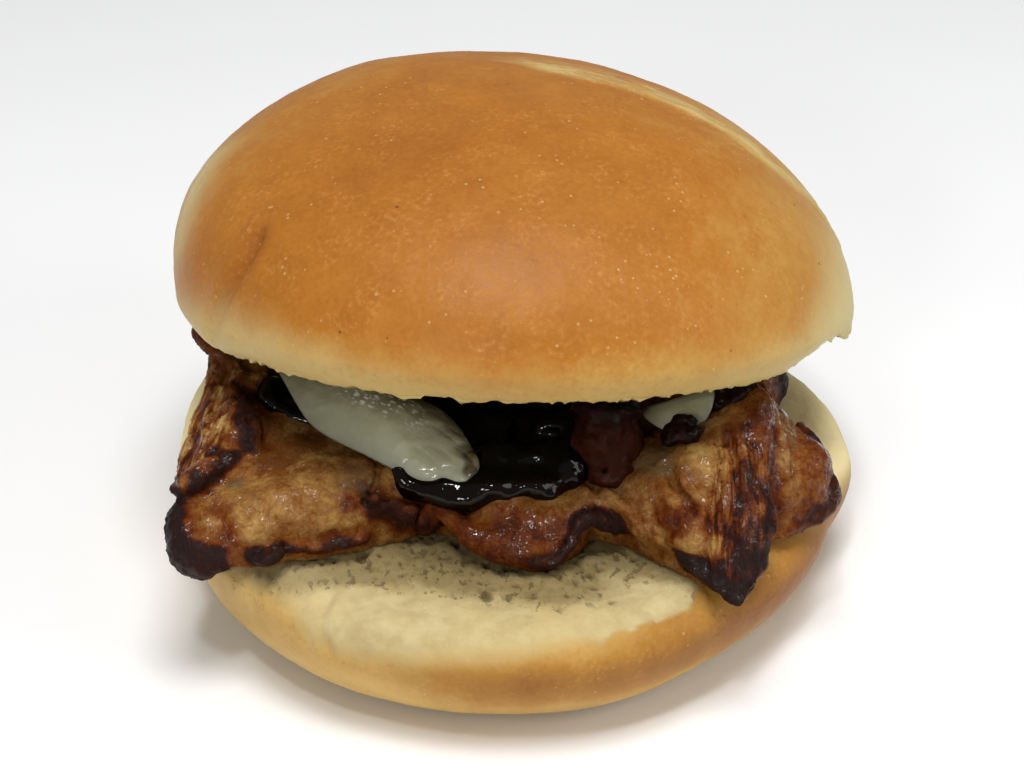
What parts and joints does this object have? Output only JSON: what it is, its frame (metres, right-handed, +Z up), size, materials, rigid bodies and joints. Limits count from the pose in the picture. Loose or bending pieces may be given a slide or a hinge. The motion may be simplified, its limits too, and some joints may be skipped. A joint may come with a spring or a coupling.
{
  "type": "teriyaki chicken burger",
  "caption": "Soft round bun holding one grilled chicken thigh fillet with dark glossy teriyaki sauce and cooked onion, the crown tipped up at the front.",
  "frame": {"origin": "middle of the heel's flat foot, on the table", "axes": "+Z up, -Y towards the open front where the filling shows, +X to the right seen from the front"},
  "size_m": [0.1088, 0.1232, 0.0748],
  "materials": {
    "bun_crust": "golden baked crust, satin",
    "bun_heel": "pale crumb and lightly baked crust, matte",
    "grilled_chicken": "grilled, oily, charred in patches",
    "sauced_meat": "meat coated with dark sauce",
    "teriyaki_sauce": "thick wet black-brown sauce",
    "cooked_onion": "translucent cooked onion",
    "char": "charred meat scrap"
  },
  "bodies": {
    "root": {"bun_bottom": "bun_heel", "chicken": "grilled_chicken", "chicken_chunk": "sauced_meat", "sauce": "teriyaki_sauce", "onion_large": "cooked_onion", "onion_small": "cooked_onion", "charred_bit_1": "char", "charred_bit_2": "char", "bun_top": "bun_crust"}
  },
  "joints": []
}
